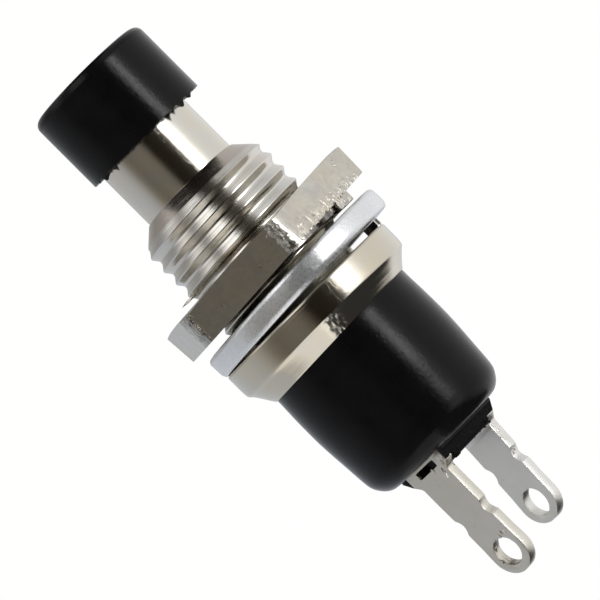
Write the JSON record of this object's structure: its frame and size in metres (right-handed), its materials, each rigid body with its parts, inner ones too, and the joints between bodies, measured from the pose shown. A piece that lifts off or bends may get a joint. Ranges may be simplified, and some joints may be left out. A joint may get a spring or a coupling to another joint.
{
  "type": "push button switch",
  "caption": "Panel-mount momentary push button switch with round black cap, threaded nickel bushing, hex nut, washer, black housing and solder lugs.",
  "frame": {"origin": "centre of the flange's seat, the plane that bears on the panel", "axes": "+Z along the bushing axis towards the button; +Y from the front lug to the rear lug"},
  "size_m": [0.0103, 0.0116, 0.0284],
  "materials": {
    "cap_plastic": "glossy black moulding",
    "nickel": "nickel plate on turned brass",
    "nut_nickel": "nickel plate on brass, nicked edges",
    "zinc": "bright zinc plate on steel",
    "body_plastic": "glossy black moulding",
    "tinned_brass": "tinned, punched edges",
    "core_plastic": "natural nylon",
    "contact_brass": "silvered contact",
    "spring_steel": "drawn spring wire"
  },
  "bodies": {
    "body": {"threaded_bushing": "nickel", "switch_body": "body_plastic", "front_terminal": "tinned_brass", "rear_terminal": "tinned_brass", "return_spring": "spring_steel"},
    "button": {"button_cap": "cap_plastic", "plunger_sleeve": "nickel", "plunger_core": "core_plastic", "contact_disc": "contact_brass", "contact_spring": "spring_steel"},
    "washer": {"flat_washer": "zinc"},
    "nut": {"hex_nut": "nut_nickel"}
  },
  "joints": [
    {"name": "button_press", "type": "slide", "parent": "body", "child": "button", "axis": [0, 0, -1], "range_m": [0, 0.0016], "stiffness_N_per_m": 1500, "deforming": ["return_spring"]},
    {"name": "nut_advance", "type": "slide", "parent": "body", "child": "washer", "axis": [0, 0, 1], "range_m": [0, 0.003]},
    {"name": "nut_turn", "type": "hinge", "parent": "washer", "child": "nut", "pos_m": [0, 0, 0.00262], "axis": [0, 0, 1], "range_deg": [0, 1441]}
  ],
  "couplings": [
    {"joint": "nut_turn", "follows": "nut_advance", "rad_per_m": 8377.6}
  ]
}
